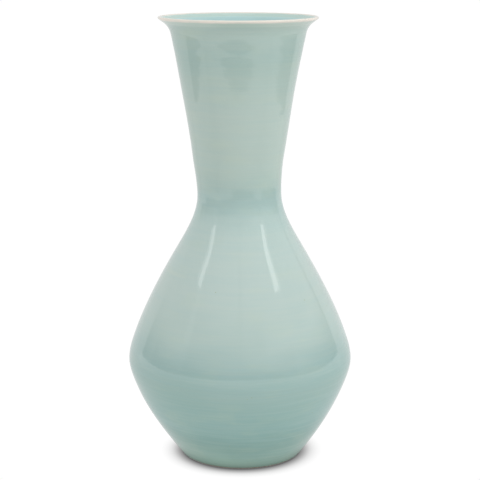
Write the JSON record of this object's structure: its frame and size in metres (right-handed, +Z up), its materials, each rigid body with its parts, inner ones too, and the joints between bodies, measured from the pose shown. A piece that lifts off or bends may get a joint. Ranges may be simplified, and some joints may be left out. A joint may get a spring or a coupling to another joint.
{
  "type": "porcelain vase",
  "caption": "Tall porcelain vase on a turned foot, with a wide rounded belly, narrow waist, flared neck and turned-out lip, under a pale blue-green celadon glaze.",
  "frame": {"origin": "centre of the foot, on the surface that the vase stands on", "axes": "+Z up along the axis of the wheel; +X to the right and +Y away as seen from the front"},
  "size_m": [0.2044, 0.2044, 0.4],
  "materials": {
    "bare_porcelain": "unglazed, toasted in the kiln, fine grain",
    "porcelain": "fired white porcelain under the glaze",
    "slip": "fired slip in the luted joints",
    "celadon_glaze": "glossy pale celadon with soft horizontal streaks from the throwing rings",
    "inner_celadon_glaze": "glossy celadon, bluer where it is thicker",
    "thin_lip_glaze": "glossy glaze run thin over the lip, warm white"
  },
  "bodies": {
    "root": {"foot_ring": "bare_porcelain", "lower_body": "porcelain", "belly_slip_joint": "slip", "shoulder": "porcelain", "waist_slip_joint": "slip", "neck": "porcelain", "lip": "porcelain", "outer_glaze": "celadon_glaze", "inner_glaze": "inner_celadon_glaze", "lip_glaze": "thin_lip_glaze", "foot_well_glaze": "inner_celadon_glaze"}
  },
  "joints": []
}
